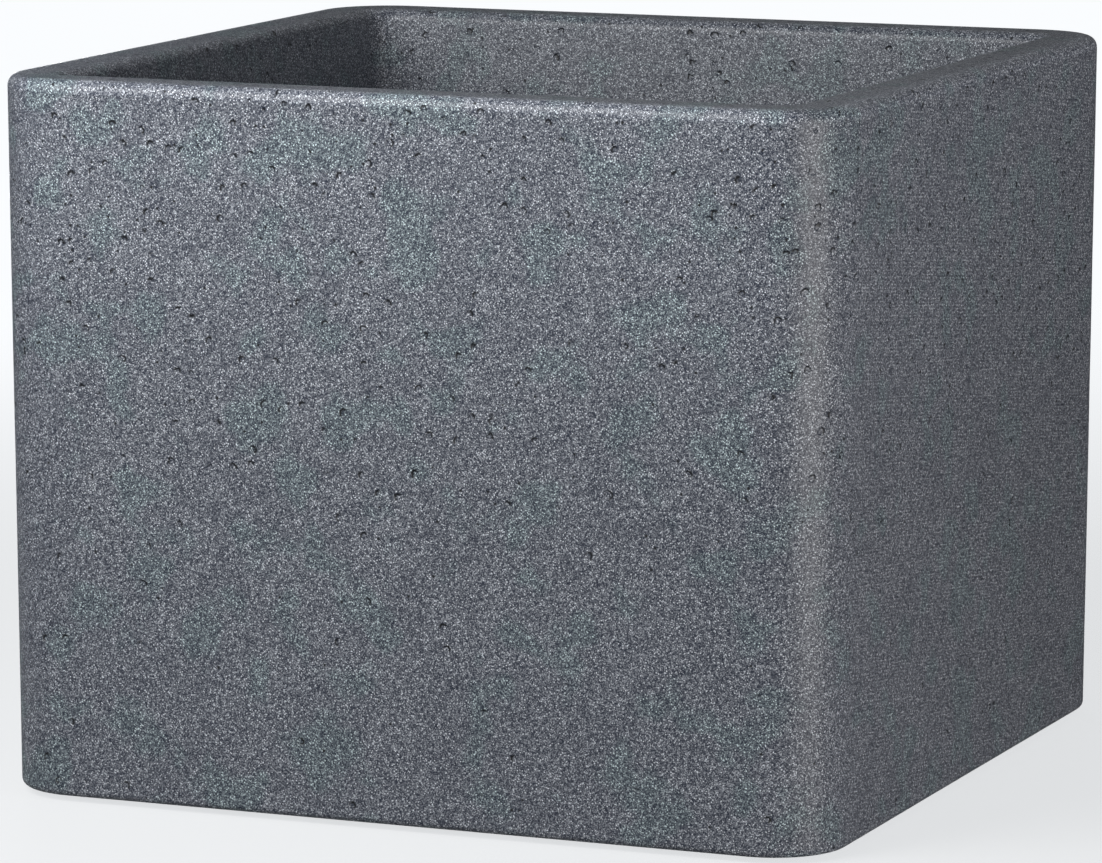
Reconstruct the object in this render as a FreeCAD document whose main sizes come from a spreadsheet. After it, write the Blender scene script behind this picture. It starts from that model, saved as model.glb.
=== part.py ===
import FreeCAD, Part
import os
import math
import Sketcher

# Square double-walled planter, moulded in one piece, with four lift-out drain plugs,
# their seals, a vent plug and four rubber feet.
# Units are millimetres and degrees. +Z is up and the front is -Y.
# The origin is on the ground, under the middle of the planter.

DRIVING_SIZES = [
    # overall shape
    ("shell_width", 400.0),
    ("shell_depth", 400.0),
    ("shell_height", 322.5),
    ("side_draft", 0.48),
    ("corner_radius", 37.2),
    ("rim_width", 26.6),
    ("rim_outer_round", 5.4),
    ("rim_inner_round", 5.2),
    ("base_round", 3.2),
    ("skin", 4.0),
    # planting bowl
    ("bowl_draft", 5.0),
    ("bowl_floor_rise", 36.0),
    ("bowl_floor_corner_radius", 15.0),
    ("bowl_floor_round", 9.0),
    # underside
    ("ground_gap", 2.5),
    ("recess_depth", 12.0),
    ("recess_corner_radius", 22.0),
    ("recess_round", 3.0),
    # drains and their plugs
    ("drain_spacing_wide", 170.0),
    ("drain_spacing_deep", 170.0),
    ("drain_bore_radius", 9.0),
    ("drain_seat_depth", 6.0),
    ("drain_lip_round", 1.5),
    ("drain_mouth_round", 1.0),
    ("plug_head_radius", 16.0),
    ("plug_head_thick", 4.0),
    ("plug_head_round", 1.2),
    ("plug_seat_clearance", 2.0),
    ("plug_stem_clearance", 0.5),
    ("plug_stem_inset", 3.0),
    ("plug_stem_wall", 2.4),
    ("plug_stem_chamfer", 1.0),
    ("tab_foot_length", 22.0),
    ("tab_top_length", 15.0),
    ("tab_thick", 3.0),
    ("tab_height", 11.0),
    ("tab_bead_radius", 2.4),
    ("tab_bead_round", 0.8),
    ("seal_thick", 2.0),
    ("seal_width", 6.4),
    ("seal_bore_clearance", 0.1),
    ("seal_round", 0.7),
    # vent in the underside
    ("vent_radius", 6.0),
    ("vent_plug_clearance", 0.1),
    ("vent_head_radius", 9.5),
    ("vent_head_thick", 2.0),
    ("vent_head_round", 0.8),
    ("vent_barb_height", 3.6),
    ("vent_barb_lip", 0.6),
    ("vent_barb_gap", 0.1),
    ("vent_plug_wall", 1.6),
    # feet
    ("foot_radius", 12.0),
    ("foot_outer_margin", 19.0),
    ("foot_inner_margin", 3.0),
    ("foot_seat_depth", 2.0),
    ("foot_seat_clearance", 0.5),
    ("foot_round", 1.0),
    ("foot_socket_radius", 4.5),
    ("foot_socket_depth", 13.0),
    ("foot_stem_height", 12.0),
    ("foot_stem_relief", 0.5),
    ("foot_barb_height", 2.0),
    ("foot_barb_clearance", 0.02),
]

# Sizes that follow from the driving ones. Each is an expression on the sheet's aliases.
BASE_LEVEL = "Sizes.ground_gap"
RIM_LEVEL = "Sizes.ground_gap + Sizes.shell_height"
FLOOR_LEVEL = "Sizes.ground_gap + Sizes.bowl_floor_rise"
SEAT_LEVEL = "Sizes.ground_gap + Sizes.bowl_floor_rise - Sizes.drain_seat_depth"
ROOF_LEVEL = "Sizes.ground_gap + Sizes.recess_depth"
SIDE_LEAN = "Sizes.shell_height * tan(Sizes.side_draft * 1 deg)"
BOWL_DEPTH = "(Sizes.shell_height - Sizes.bowl_floor_rise)"
BOWL_LEAN = "{} * tan(Sizes.bowl_draft * 1 deg)".format(BOWL_DEPTH)
BASE_WIDTH = "(Sizes.shell_width - 2 * {})".format(SIDE_LEAN)
BASE_DEPTH = "(Sizes.shell_depth - 2 * {})".format(SIDE_LEAN)
BASE_CORNER = "(Sizes.corner_radius - {})".format(SIDE_LEAN)
MOUTH_WIDTH = "(Sizes.shell_width - 2 * Sizes.rim_width)"
MOUTH_DEPTH = "(Sizes.shell_depth - 2 * Sizes.rim_width)"
MOUTH_CORNER = "(Sizes.corner_radius - Sizes.rim_width)"
FLOOR_WIDTH = "({} - 2 * {})".format(MOUTH_WIDTH, BOWL_LEAN)
FLOOR_DEPTH = "({} - 2 * {})".format(MOUTH_DEPTH, BOWL_LEAN)
BASE_BAND = "(Sizes.foot_outer_margin + 2 * Sizes.foot_radius + Sizes.foot_inner_margin)"
RECESS_WIDTH = "({} - 2 * {})".format(BASE_WIDTH, BASE_BAND)
RECESS_DEEP = "({} - 2 * {})".format(BASE_DEPTH, BASE_BAND)
SEAT_RADIUS = "(Sizes.plug_head_radius + Sizes.plug_seat_clearance)"
STEM_RADIUS = "(Sizes.drain_bore_radius - Sizes.plug_stem_clearance)"
STEM_LENGTH = (
    "(Sizes.bowl_floor_rise - Sizes.drain_seat_depth - Sizes.recess_depth"
    " + Sizes.seal_thick - Sizes.plug_stem_inset)"
)
FOOT_INSET = "(Sizes.foot_outer_margin + Sizes.foot_radius)"
FOOT_HALF_X = "({} / 2 - {})".format(BASE_WIDTH, FOOT_INSET)
FOOT_HALF_Y = "({} / 2 - {})".format(BASE_DEPTH, FOOT_INSET)
FOOT_THICK = "(Sizes.ground_gap + Sizes.foot_seat_depth)"

# The four corners of the planter: name, side along X, side along Y.
CORNERS = [
    ("front_left", -1, -1),
    ("front_right", 1, -1),
    ("rear_left", -1, 1),
    ("rear_right", 1, 1),
]

LEVEL_TOLERANCE = 0.001

doc = FreeCAD.newDocument("planter")
sheet = doc.addObject("Spreadsheet::Sheet", "Sizes")


def fill_sheet():
    """Write each driving size and its alias into the spreadsheet."""
    for row, (alias, value) in enumerate(DRIVING_SIZES, start=1):
        sheet.set("A{}".format(row), alias)
        sheet.set("B{}".format(row), str(value))
        sheet.setAlias("B{}".format(row), alias)
    doc.recompute()


def number(expression):
    """Return the present value of an expression on the sheet, as a float."""
    value = sheet.evalExpression(expression)
    return float(getattr(value, "Value", value))


def signed(expression, sign):
    """Return the expression with its sign turned for one side of the planter."""
    return expression if sign > 0 else "-({})".format(expression)


def new_body(name, label):
    """Make an empty body with the name that its piece goes by."""
    body = doc.addObject("PartDesign::Body", name)
    body.Label = label
    return body


def origin_plane(body, role):
    """Return one of a body's own origin planes."""
    return next(item for item in body.Origin.OriginFeatures if item.Role == role)


def new_sketch(body, name, role="XY_Plane", level=None):
    """Attach a sketch to an origin plane of its body, raised to a level."""
    sketch = body.newObject("Sketcher::SketchObject", name)
    sketch.AttachmentSupport = (origin_plane(body, role), [""])
    sketch.MapMode = "FlatFace"
    if level is not None:
        sketch.setExpression("AttachmentOffset.Base.z", level)
    return sketch


def hold_point(sketch, geometry, vertex, across, along):
    """Tie a sketch point to the origin by two expressions."""
    for kind, axis, expression in (("DistanceX", -2, across), ("DistanceY", -1, along)):
        value = number(expression)
        if abs(value) < LEVEL_TOLERANCE:
            sketch.addConstraint(Sketcher.Constraint("PointOnObject", geometry, vertex, axis))
        elif value > 0:
            index = sketch.addConstraint(
                Sketcher.Constraint(kind, -1, 1, geometry, vertex, value)
            )
            sketch.setExpression("Constraints[{}]".format(index), expression)
        else:
            index = sketch.addConstraint(
                Sketcher.Constraint(kind, geometry, vertex, -1, 1, -value)
            )
            sketch.setExpression("Constraints[{}]".format(index), "-({})".format(expression))


def polygon(body, name, points, role="XZ_Plane", level=None):
    """Sketch a closed outline whose corners are pairs of expressions."""
    sketch = new_sketch(body, name, role, level)
    corners = [FreeCAD.Vector(number(across), number(along), 0) for across, along in points]
    count = len(corners)
    for index in range(count):
        line = Part.LineSegment(corners[index], corners[(index + 1) % count])
        sketch.addGeometry(line)
    for index in range(count):
        following = (index + 1) % count
        sketch.addConstraint(Sketcher.Constraint("Coincident", index, 2, following, 1))
    for index, (across, along) in enumerate(points):
        hold_point(sketch, index, 1, across, along)
    return sketch


def rounded_outline(body, name, width, depth, radius, level):
    """Sketch a rectangle with round corners, centred on the origin."""
    sketch = new_sketch(body, name, level=level)
    half_x = number(width) / 2
    half_y = number(depth) / 2
    round_value = number(radius)
    in_x = half_x - round_value
    in_y = half_y - round_value
    sides = [
        ((-in_x, -half_y), (in_x, -half_y)),
        ((half_x, -in_y), (half_x, in_y)),
        ((in_x, half_y), (-in_x, half_y)),
        ((-half_x, in_y), (-half_x, -in_y)),
    ]
    for start, end in sides:
        sketch.addGeometry(Part.LineSegment(FreeCAD.Vector(*start), FreeCAD.Vector(*end)))
    centres = [(in_x, -in_y), (in_x, in_y), (-in_x, in_y), (-in_x, -in_y)]
    for quarter, centre in enumerate(centres):
        circle = Part.Circle(FreeCAD.Vector(*centre), FreeCAD.Vector(0, 0, 1), round_value)
        start = (quarter - 1) * math.pi / 2
        sketch.addGeometry(Part.ArcOfCircle(circle, start, start + math.pi / 2))
    for side in range(4):
        arc = side + 4
        sketch.addConstraint(Sketcher.Constraint("Tangent", side, 2, arc, 1))
        sketch.addConstraint(Sketcher.Constraint("Tangent", arc, 2, (side + 1) % 4, 1))
    sketch.addConstraint(Sketcher.Constraint("Horizontal", 2))
    sketch.addConstraint(Sketcher.Constraint("Vertical", 3))
    for arc in (5, 6, 7):
        sketch.addConstraint(Sketcher.Constraint("Equal", 4, arc))
    sketch.addConstraint(Sketcher.Constraint("Symmetric", 0, 1, 0, 2, -2))
    sketch.addConstraint(Sketcher.Constraint("Symmetric", 1, 1, 1, 2, -1))
    sizes = [
        (Sketcher.Constraint("Radius", 4, round_value), radius),
        (Sketcher.Constraint("DistanceX", 3, 1, 1, 1, 2 * half_x), width),
        (Sketcher.Constraint("DistanceY", 0, 1, 2, 1, 2 * half_y), depth),
    ]
    for constraint, expression in sizes:
        index = sketch.addConstraint(constraint)
        sketch.setExpression("Constraints[{}]".format(index), expression)
    return sketch


def four_circles(body, name, half_x, half_y, radius, level):
    """Sketch one circle towards each corner of the planter."""
    sketch = new_sketch(body, name, level=level)
    for _, side_x, side_y in CORNERS:
        across = signed(half_x, side_x)
        along = signed(half_y, side_y)
        centre = FreeCAD.Vector(number(across), number(along), 0)
        circle = Part.Circle(centre, FreeCAD.Vector(0, 0, 1), number(radius))
        geometry = sketch.addGeometry(circle)
        hold_point(sketch, geometry, 3, across, along)
        index = sketch.addConstraint(Sketcher.Constraint("Radius", geometry, number(radius)))
        sketch.setExpression("Constraints[{}]".format(index), radius)
    return sketch


def one_circle(body, name, radius, level=None, role="XY_Plane", rise="0"):
    """Sketch a circle on the body's own axis, or above it on an upright plane."""
    sketch = new_sketch(body, name, role, level)
    centre = FreeCAD.Vector(0, number(rise), 0)
    sketch.addGeometry(Part.Circle(centre, FreeCAD.Vector(0, 0, 1), number(radius)))
    hold_point(sketch, 0, 3, "0", rise)
    index = sketch.addConstraint(Sketcher.Constraint("Radius", 0, number(radius)))
    sketch.setExpression("Constraints[{}]".format(index), radius)
    return sketch


def finish_feature(body, feature, grows):
    """Recompute a body and check that its new feature changed the volume the right way."""
    base = feature.BaseFeature
    before = base.Shape.Volume if base else 0.0
    body.Tip = feature
    doc.recompute()
    change = feature.Shape.Volume - before
    if (change > 0) != grows:
        raise RuntimeError("{} changes nothing, or the wrong way".format(feature.Name))
    return feature


def loft(body, name, kind, lower, upper):
    """Add or take away a straight-sided loft between two outlines."""
    feature = body.newObject("PartDesign::{}Loft".format(kind), name)
    feature.Profile = lower
    feature.Sections = [upper]
    feature.Ruled = True
    return finish_feature(body, feature, kind == "Additive")


def pocket(body, name, sketch, length, upwards):
    """Cut a sketch into a body by a length, up or down."""
    feature = body.newObject("PartDesign::Pocket", name)
    feature.Profile = sketch
    feature.setExpression("Length", length)
    feature.Reversed = upwards
    return finish_feature(body, feature, False)


def pad_both_ways(body, name, sketch, length):
    """Add a sketch to a body, half of the length to each side of its plane."""
    feature = body.newObject("PartDesign::Pad", name)
    feature.Profile = sketch
    feature.Midplane = True
    feature.setExpression("Length", length)
    return finish_feature(body, feature, True)


def revolve(body, name, sketch):
    """Turn a profile once round the body's upright axis."""
    feature = body.newObject("PartDesign::Revolution", name)
    feature.Profile = sketch
    feature.ReferenceAxis = (sketch, ["V_Axis"])
    feature.Angle = 360.0
    return finish_feature(body, feature, True)


def round_edges(body, name, edges, radius):
    """Fillet the given edges of a body's newest feature."""
    base = body.Tip
    names = []
    for index, edge in enumerate(base.Shape.Edges, start=1):
        if any(edge.isSame(wanted) for wanted in edges):
            names.append("Edge{}".format(index))
    if not names:
        raise RuntimeError("{} has no edge to round".format(name))
    feature = body.newObject("PartDesign::Fillet", name)
    feature.Base = (base, names)
    feature.setExpression("Radius", radius)
    body.Tip = feature
    doc.recompute()
    return feature


def level_face(shape, level):
    """Return the largest flat face whose corners all lie at one level."""
    height = number(level)
    faces = []
    for face in shape.Faces:
        box = face.BoundBox
        if abs(box.ZMin - height) < LEVEL_TOLERANCE and abs(box.ZMax - height) < LEVEL_TOLERANCE:
            faces.append(face)
    return max(faces, key=lambda face: face.Area)


def outer_edges(face):
    """Return the edges of a face's outer boundary."""
    return face.OuterWire.Edges


def inner_edges(face):
    """Return the edges of a face's holes."""
    outer = face.OuterWire
    holes = [wire for wire in face.Wires if not wire.isSame(outer)]
    return [edge for wire in holes for edge in wire.Edges]


def ring_edges(shape, radius, level):
    """Return the round edges of one radius at one level."""
    found = []
    for edge in shape.Edges:
        curve = edge.Curve
        at_level = abs(edge.BoundBox.ZMin - number(level)) < LEVEL_TOLERANCE
        if at_level and isinstance(curve, Part.Circle):
            if abs(curve.Radius - number(radius)) < LEVEL_TOLERANCE:
                found.append(edge)
    return found


def upright_rings(shape, radius):
    """Return the round edges of one radius that stand across the X axis."""
    found = []
    for edge in shape.Edges:
        if isinstance(edge.Curve, Part.Circle):
            same_size = abs(edge.Curve.Radius - number(radius)) < LEVEL_TOLERANCE
            if same_size and abs(edge.Curve.Axis.x) > 1 - LEVEL_TOLERANCE:
                found.append(edge)
    return found


def make_planter_form():
    """Make the planter's outside: walls, rim, bowl, drains and underside, with no cavity."""
    body = new_body("PlanterForm", "planter_form")
    base_outline = rounded_outline(
        body, "BaseOutline", BASE_WIDTH, BASE_DEPTH, BASE_CORNER, BASE_LEVEL
    )
    rim_outline = rounded_outline(
        body, "RimOutline", "Sizes.shell_width", "Sizes.shell_depth", "Sizes.corner_radius", RIM_LEVEL
    )
    loft(body, "OuterWalls", "Additive", base_outline, rim_outline)

    floor_outline = rounded_outline(
        body, "BowlFloorOutline", FLOOR_WIDTH, FLOOR_DEPTH, "Sizes.bowl_floor_corner_radius", FLOOR_LEVEL
    )
    mouth_outline = rounded_outline(
        body, "BowlMouthOutline", MOUTH_WIDTH, MOUTH_DEPTH, MOUTH_CORNER, RIM_LEVEL
    )
    loft(body, "Bowl", "Subtractive", floor_outline, mouth_outline)

    rim = level_face(body.Tip.Shape, RIM_LEVEL)
    round_edges(body, "RimOuterRound", outer_edges(rim), "Sizes.rim_outer_round")
    rim = level_face(body.Tip.Shape, RIM_LEVEL)
    round_edges(body, "RimInnerRound", inner_edges(rim), "Sizes.rim_inner_round")
    base = level_face(body.Tip.Shape, BASE_LEVEL)
    round_edges(body, "BaseRound", outer_edges(base), "Sizes.base_round")
    floor = level_face(body.Tip.Shape, FLOOR_LEVEL)
    round_edges(body, "BowlFloorRound", outer_edges(floor), "Sizes.bowl_floor_round")

    recess_outline = rounded_outline(
        body, "RecessOutline", RECESS_WIDTH, RECESS_DEEP, "Sizes.recess_corner_radius", BASE_LEVEL
    )
    pocket(body, "UndersideRecess", recess_outline, "Sizes.recess_depth", upwards=True)
    band = level_face(body.Tip.Shape, BASE_LEVEL)
    round_edges(body, "RecessMouthRound", inner_edges(band), "Sizes.recess_round")
    roof = level_face(body.Tip.Shape, ROOF_LEVEL)
    round_edges(body, "RecessRoofRound", outer_edges(roof), "Sizes.recess_round")

    half_x = "(Sizes.drain_spacing_wide / 2)"
    half_y = "(Sizes.drain_spacing_deep / 2)"
    seats = four_circles(body, "DrainSeatCircles", half_x, half_y, SEAT_RADIUS, FLOOR_LEVEL)
    pocket(body, "DrainSeats", seats, "Sizes.drain_seat_depth", upwards=False)
    lips = ring_edges(body.Tip.Shape, SEAT_RADIUS, FLOOR_LEVEL)
    round_edges(body, "DrainLipRound", lips, "Sizes.drain_lip_round")
    bores = four_circles(
        body, "DrainBoreCircles", half_x, half_y, "Sizes.drain_bore_radius", SEAT_LEVEL
    )
    pocket(body, "DrainBores", bores, "{} - ({})".format(SEAT_LEVEL, ROOF_LEVEL), upwards=False)
    mouths = ring_edges(body.Tip.Shape, "Sizes.drain_bore_radius", ROOF_LEVEL)
    round_edges(body, "DrainMouthRound", mouths, "Sizes.drain_mouth_round")

    foot_seats = four_circles(
        body,
        "FootSeatCircles",
        FOOT_HALF_X,
        FOOT_HALF_Y,
        "Sizes.foot_radius + Sizes.foot_seat_clearance",
        BASE_LEVEL,
    )
    pocket(body, "FootSeats", foot_seats, "Sizes.foot_seat_depth", upwards=True)
    sockets = four_circles(
        body,
        "FootSocketCircles",
        FOOT_HALF_X,
        FOOT_HALF_Y,
        "Sizes.foot_socket_radius",
        FOOT_THICK,
    )
    pocket(body, "FootSockets", sockets, "Sizes.foot_socket_depth", upwards=True)

    vent = one_circle(body, "VentCircle", "Sizes.vent_radius", ROOF_LEVEL)
    pocket(body, "VentHole", vent, "Sizes.skin", upwards=True)
    return body


def make_air_space():
    """Make the air space that the moulding closes in between its two walls."""
    body = new_body("AirSpace", "air_space")
    bottom = "{} + Sizes.skin".format(BASE_LEVEL)
    top = "{} - Sizes.skin".format(RIM_LEVEL)
    grown = "{} + 2 * Sizes.skin"
    shrunk = "{} - 2 * Sizes.skin"
    lower = rounded_outline(
        body,
        "AirLowerOutline",
        shrunk.format(BASE_WIDTH),
        shrunk.format(BASE_DEPTH),
        "{} - Sizes.skin".format(BASE_CORNER),
        bottom,
    )
    upper = rounded_outline(
        body,
        "AirUpperOutline",
        shrunk.format("Sizes.shell_width"),
        shrunk.format("Sizes.shell_depth"),
        "Sizes.corner_radius - Sizes.skin",
        top,
    )
    loft(body, "AirBlock", "Additive", lower, upper)

    liner_floor = rounded_outline(
        body,
        "LinerFloorOutline",
        grown.format(FLOOR_WIDTH),
        grown.format(FLOOR_DEPTH),
        "Sizes.bowl_floor_corner_radius + Sizes.skin",
        "{} - Sizes.skin".format(FLOOR_LEVEL),
    )
    liner_mouth = rounded_outline(
        body,
        "LinerMouthOutline",
        grown.format(MOUTH_WIDTH),
        grown.format(MOUTH_DEPTH),
        "{} + Sizes.skin".format(MOUTH_CORNER),
        RIM_LEVEL,
    )
    loft(body, "BowlSide", "Subtractive", liner_floor, liner_mouth)

    recess = rounded_outline(
        body,
        "RecessSkinOutline",
        grown.format(RECESS_WIDTH),
        grown.format(RECESS_DEEP),
        "Sizes.recess_corner_radius + Sizes.skin",
        bottom,
    )
    pocket(body, "RecessSkin", recess, "Sizes.recess_depth", upwards=True)

    half_x = "(Sizes.drain_spacing_wide / 2)"
    half_y = "(Sizes.drain_spacing_deep / 2)"
    seat_skin = four_circles(
        body,
        "SeatSkinCircles",
        half_x,
        half_y,
        "{} + Sizes.skin".format(SEAT_RADIUS),
        "{} - Sizes.skin".format(SEAT_LEVEL),
    )
    pocket(body, "SeatSkin", seat_skin, "Sizes.drain_seat_depth", upwards=True)
    drain_skin = four_circles(
        body,
        "DrainSkinCircles",
        half_x,
        half_y,
        "Sizes.drain_bore_radius + Sizes.skin",
        ROOF_LEVEL,
    )
    pocket(body, "DrainSkin", drain_skin, "{} - ({})".format(SEAT_LEVEL, ROOF_LEVEL), upwards=True)

    foot_skin = four_circles(
        body,
        "FootSkinCircles",
        FOOT_HALF_X,
        FOOT_HALF_Y,
        "Sizes.foot_radius + Sizes.foot_seat_clearance + Sizes.skin",
        bottom,
    )
    pocket(body, "FootSkin", foot_skin, "Sizes.foot_seat_depth", upwards=True)
    socket_skin = four_circles(
        body,
        "SocketSkinCircles",
        FOOT_HALF_X,
        FOOT_HALF_Y,
        "Sizes.foot_socket_radius + Sizes.skin",
        bottom,
    )
    pocket(
        body,
        "SocketSkin",
        socket_skin,
        "Sizes.foot_seat_depth + Sizes.foot_socket_depth",
        upwards=True,
    )
    return body


def make_planter_shell():
    """Hollow the planter's form: the vent hole joins the air space to the outside."""
    shell = doc.addObject("Part::Cut", "PlanterShell")
    shell.Base = make_planter_form()
    shell.Tool = make_air_space()
    shell.Label = "planter_shell"
    return shell


def place(body, across, along, level):
    """Tie a piece's place to the sheet."""
    body.setExpression("Placement.Base.x", across)
    body.setExpression("Placement.Base.y", along)
    body.setExpression("Placement.Base.z", level)


def make_drain_plug(corner, side_x, side_y):
    """Make one push-in drain plug: head, hollow stem and a lift tab with a beaded top."""
    body = new_body("DrainPlug_" + corner, "drain_plug_" + corner)
    stem_bore = "({} - Sizes.plug_stem_wall)".format(STEM_RADIUS)
    stem_foot = "-{}".format(STEM_LENGTH)
    profile = polygon(
        body,
        "PlugProfile_" + corner,
        [
            ("0", "0"),
            (stem_bore, "0"),
            (stem_bore, stem_foot),
            ("{} - Sizes.plug_stem_chamfer".format(STEM_RADIUS), stem_foot),
            (STEM_RADIUS, "{} + Sizes.plug_stem_chamfer".format(stem_foot)),
            (STEM_RADIUS, "0"),
            ("Sizes.plug_head_radius", "0"),
            ("Sizes.plug_head_radius", "Sizes.plug_head_thick"),
            ("0", "Sizes.plug_head_thick"),
        ],
    )
    revolve(body, "PlugTurned_" + corner, profile)
    head_rim = ring_edges(body.Tip.Shape, "Sizes.plug_head_radius", "Sizes.plug_head_thick")
    round_edges(body, "PlugHeadRound_" + corner, head_rim, "Sizes.plug_head_round")

    half_foot = "(Sizes.tab_foot_length / 2)"
    half_top = "(Sizes.tab_top_length / 2)"
    bead_level = "Sizes.plug_head_thick + Sizes.tab_height - Sizes.tab_bead_radius"
    tab_outline = polygon(
        body,
        "TabOutline_" + corner,
        [
            (signed(half_foot, -1), "Sizes.plug_head_thick"),
            (half_foot, "Sizes.plug_head_thick"),
            (half_top, bead_level),
            (signed(half_top, -1), bead_level),
        ],
    )
    pad_both_ways(body, "Tab_" + corner, tab_outline, "Sizes.tab_thick")
    bead_outline = one_circle(
        body,
        "TabBeadCircle_" + corner,
        "Sizes.tab_bead_radius",
        role="YZ_Plane",
        rise=bead_level,
    )
    pad_both_ways(body, "TabBead_" + corner, bead_outline, "Sizes.tab_top_length")
    bead_ends = upright_rings(body.Tip.Shape, "Sizes.tab_bead_radius")
    round_edges(body, "TabBeadRound_" + corner, bead_ends, "Sizes.tab_bead_round")

    across = signed("Sizes.drain_spacing_wide / 2", side_x)
    along = signed("Sizes.drain_spacing_deep / 2", side_y)
    place(body, across, along, "{} + Sizes.seal_thick".format(SEAT_LEVEL))
    return body


def make_drain_seal(corner, side_x, side_y):
    """Make the flat rubber seal that one plug's head squeezes against its seat."""
    body = new_body("DrainSeal_" + corner, "drain_seal_" + corner)
    inner = "({} + Sizes.seal_bore_clearance)".format(STEM_RADIUS)
    outer = "({} + Sizes.seal_width)".format(inner)
    profile = polygon(
        body,
        "SealProfile_" + corner,
        [
            (inner, "0"),
            (outer, "0"),
            (outer, "Sizes.seal_thick"),
            (inner, "Sizes.seal_thick"),
        ],
    )
    revolve(body, "SealTurned_" + corner, profile)
    shape = body.Tip.Shape
    outer_rings = ring_edges(shape, outer, "0") + ring_edges(shape, outer, "Sizes.seal_thick")
    round_edges(body, "SealRound_" + corner, outer_rings, "Sizes.seal_round")
    across = signed("Sizes.drain_spacing_wide / 2", side_x)
    along = signed("Sizes.drain_spacing_deep / 2", side_y)
    place(body, across, along, SEAT_LEVEL)
    return body


def make_vent_plug():
    """Make the snap-in plug that closes the moulding's vent from below."""
    body = new_body("VentPlug", "vent_plug")
    shank = "(Sizes.vent_radius - Sizes.vent_plug_clearance)"
    bore = "({} - Sizes.vent_plug_wall)".format(shank)
    lip = "(Sizes.vent_radius + Sizes.vent_barb_lip)"
    lip_level = "(Sizes.skin + Sizes.vent_barb_gap)"
    crown = "({} + Sizes.vent_barb_height)".format(lip_level)
    profile = polygon(
        body,
        "VentPlugProfile",
        [
            ("0", "{} - Sizes.vent_plug_wall".format(crown)),
            (bore, "{} - Sizes.vent_plug_wall".format(crown)),
            (bore, "-Sizes.vent_head_thick"),
            ("Sizes.vent_head_radius", "-Sizes.vent_head_thick"),
            ("Sizes.vent_head_radius", "0"),
            (shank, "0"),
            (shank, lip_level),
            (lip, lip_level),
            (bore, crown),
            ("0", crown),
        ],
    )
    revolve(body, "VentPlugTurned", profile)
    rim = ring_edges(body.Tip.Shape, "Sizes.vent_head_radius", "-Sizes.vent_head_thick")
    round_edges(body, "VentHeadRound", rim, "Sizes.vent_head_round")
    place(body, "0", "0", ROOF_LEVEL)
    return body


def make_foot(corner, side_x, side_y):
    """Make one rubber foot: a disc that stands on the ground and a barbed stem."""
    body = new_body("Foot_" + corner, "rubber_foot_" + corner)
    barb = "(Sizes.foot_socket_radius - Sizes.foot_barb_clearance)"
    stem = "({} - Sizes.foot_stem_relief)".format(barb)
    stem_top = "({} + Sizes.foot_stem_height)".format(FOOT_THICK)
    barb_top = "({} + Sizes.foot_stem_height - Sizes.foot_barb_height)".format(FOOT_THICK)
    barb_low = "({} - Sizes.foot_barb_height)".format(barb_top)
    profile = polygon(
        body,
        "FootProfile_" + corner,
        [
            ("0", "0"),
            ("Sizes.foot_radius", "0"),
            ("Sizes.foot_radius", FOOT_THICK),
            (stem, FOOT_THICK),
            (stem, barb_low),
            (barb, barb_low),
            (stem, barb_top),
            (barb, barb_top),
            ("{} - Sizes.foot_stem_relief".format(stem), stem_top),
            ("0", stem_top),
        ],
    )
    revolve(body, "FootTurned_" + corner, profile)
    sole_rim = ring_edges(body.Tip.Shape, "Sizes.foot_radius", "0")
    round_edges(body, "FootRound_" + corner, sole_rim, "Sizes.foot_round")
    place(body, signed(FOOT_HALF_X, side_x), signed(FOOT_HALF_Y, side_y), "0")
    return body


def check_document():
    """Stop if any object failed to build."""
    for item in doc.Objects:
        if "Invalid" in item.State or "Error" in item.State:
            raise RuntimeError("{} failed: {}".format(item.Name, item.State))


def write_pieces(pieces):
    """Write each piece to a STEP file that has its name."""
    os.makedirs("parts", exist_ok=True)
    for piece in pieces:
        shape = piece.Shape
        if shape.isNull() or not shape.isValid():
            raise RuntimeError("{} has no valid shape".format(piece.Label))
    for piece in pieces:
        piece.Shape.exportStep("parts/{}.step".format(piece.Label))
        print(piece.Label, len(piece.Shape.Solids), round(piece.Shape.Volume, 1))


fill_sheet()
pieces = [make_planter_shell()]
for corner, side_x, side_y in CORNERS:
    pieces.append(make_drain_plug(corner, side_x, side_y))
    pieces.append(make_drain_seal(corner, side_x, side_y))
pieces.append(make_vent_plug())
for corner, side_x, side_y in CORNERS:
    pieces.append(make_foot(corner, side_x, side_y))
doc.recompute()
check_document()
write_pieces(pieces)
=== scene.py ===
"""Looks of a square granite-speckled planter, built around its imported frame. Units are metres."""

import logging
import math
from dataclasses import dataclass
from enum import Enum

import bmesh
import bpy
from mathutils import Matrix, Vector, noise


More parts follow.
